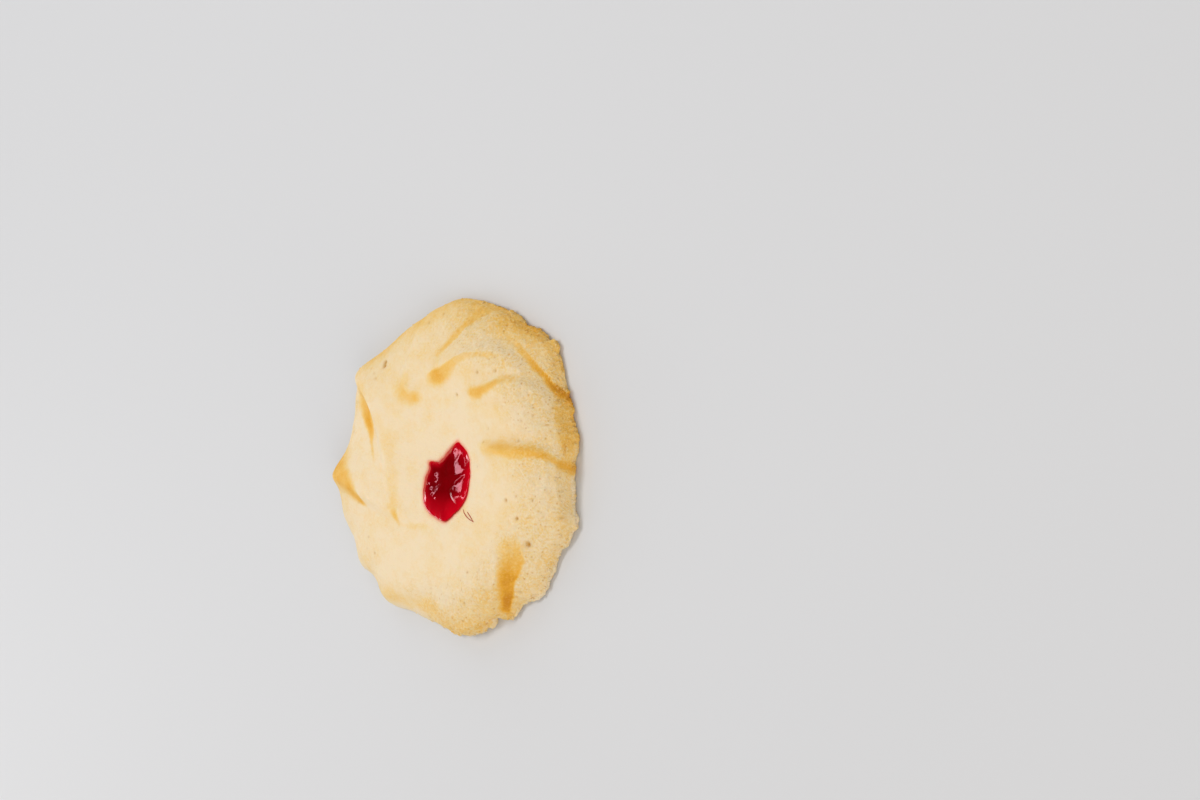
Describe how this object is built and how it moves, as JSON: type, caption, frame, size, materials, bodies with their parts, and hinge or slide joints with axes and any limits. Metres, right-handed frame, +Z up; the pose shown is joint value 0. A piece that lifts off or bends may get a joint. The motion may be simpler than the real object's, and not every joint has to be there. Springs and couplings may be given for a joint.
{
  "type": "jam-centred whirl biscuit",
  "caption": "Round piped butter biscuit with overlapping swirled blades, a thin crumbly rim and a glossy strawberry jam centre, flat underneath.",
  "frame": {"origin": "centre of the flat underside, under the middle of the outline's box", "axes": "+Z up out of the jam face, +X and +Y in the plane of the flat underside"},
  "size_m": [0.0708, 0.0678, 0.0098],
  "materials": {
    "biscuit": "dry baked crumb, pale in the middle and golden on the flanks and rim",
    "jam": "wet glossy red jelly, dark where it is deep"
  },
  "bodies": {
    "root": {"biscuit": "biscuit", "jam": "jam"}
  },
  "joints": []
}
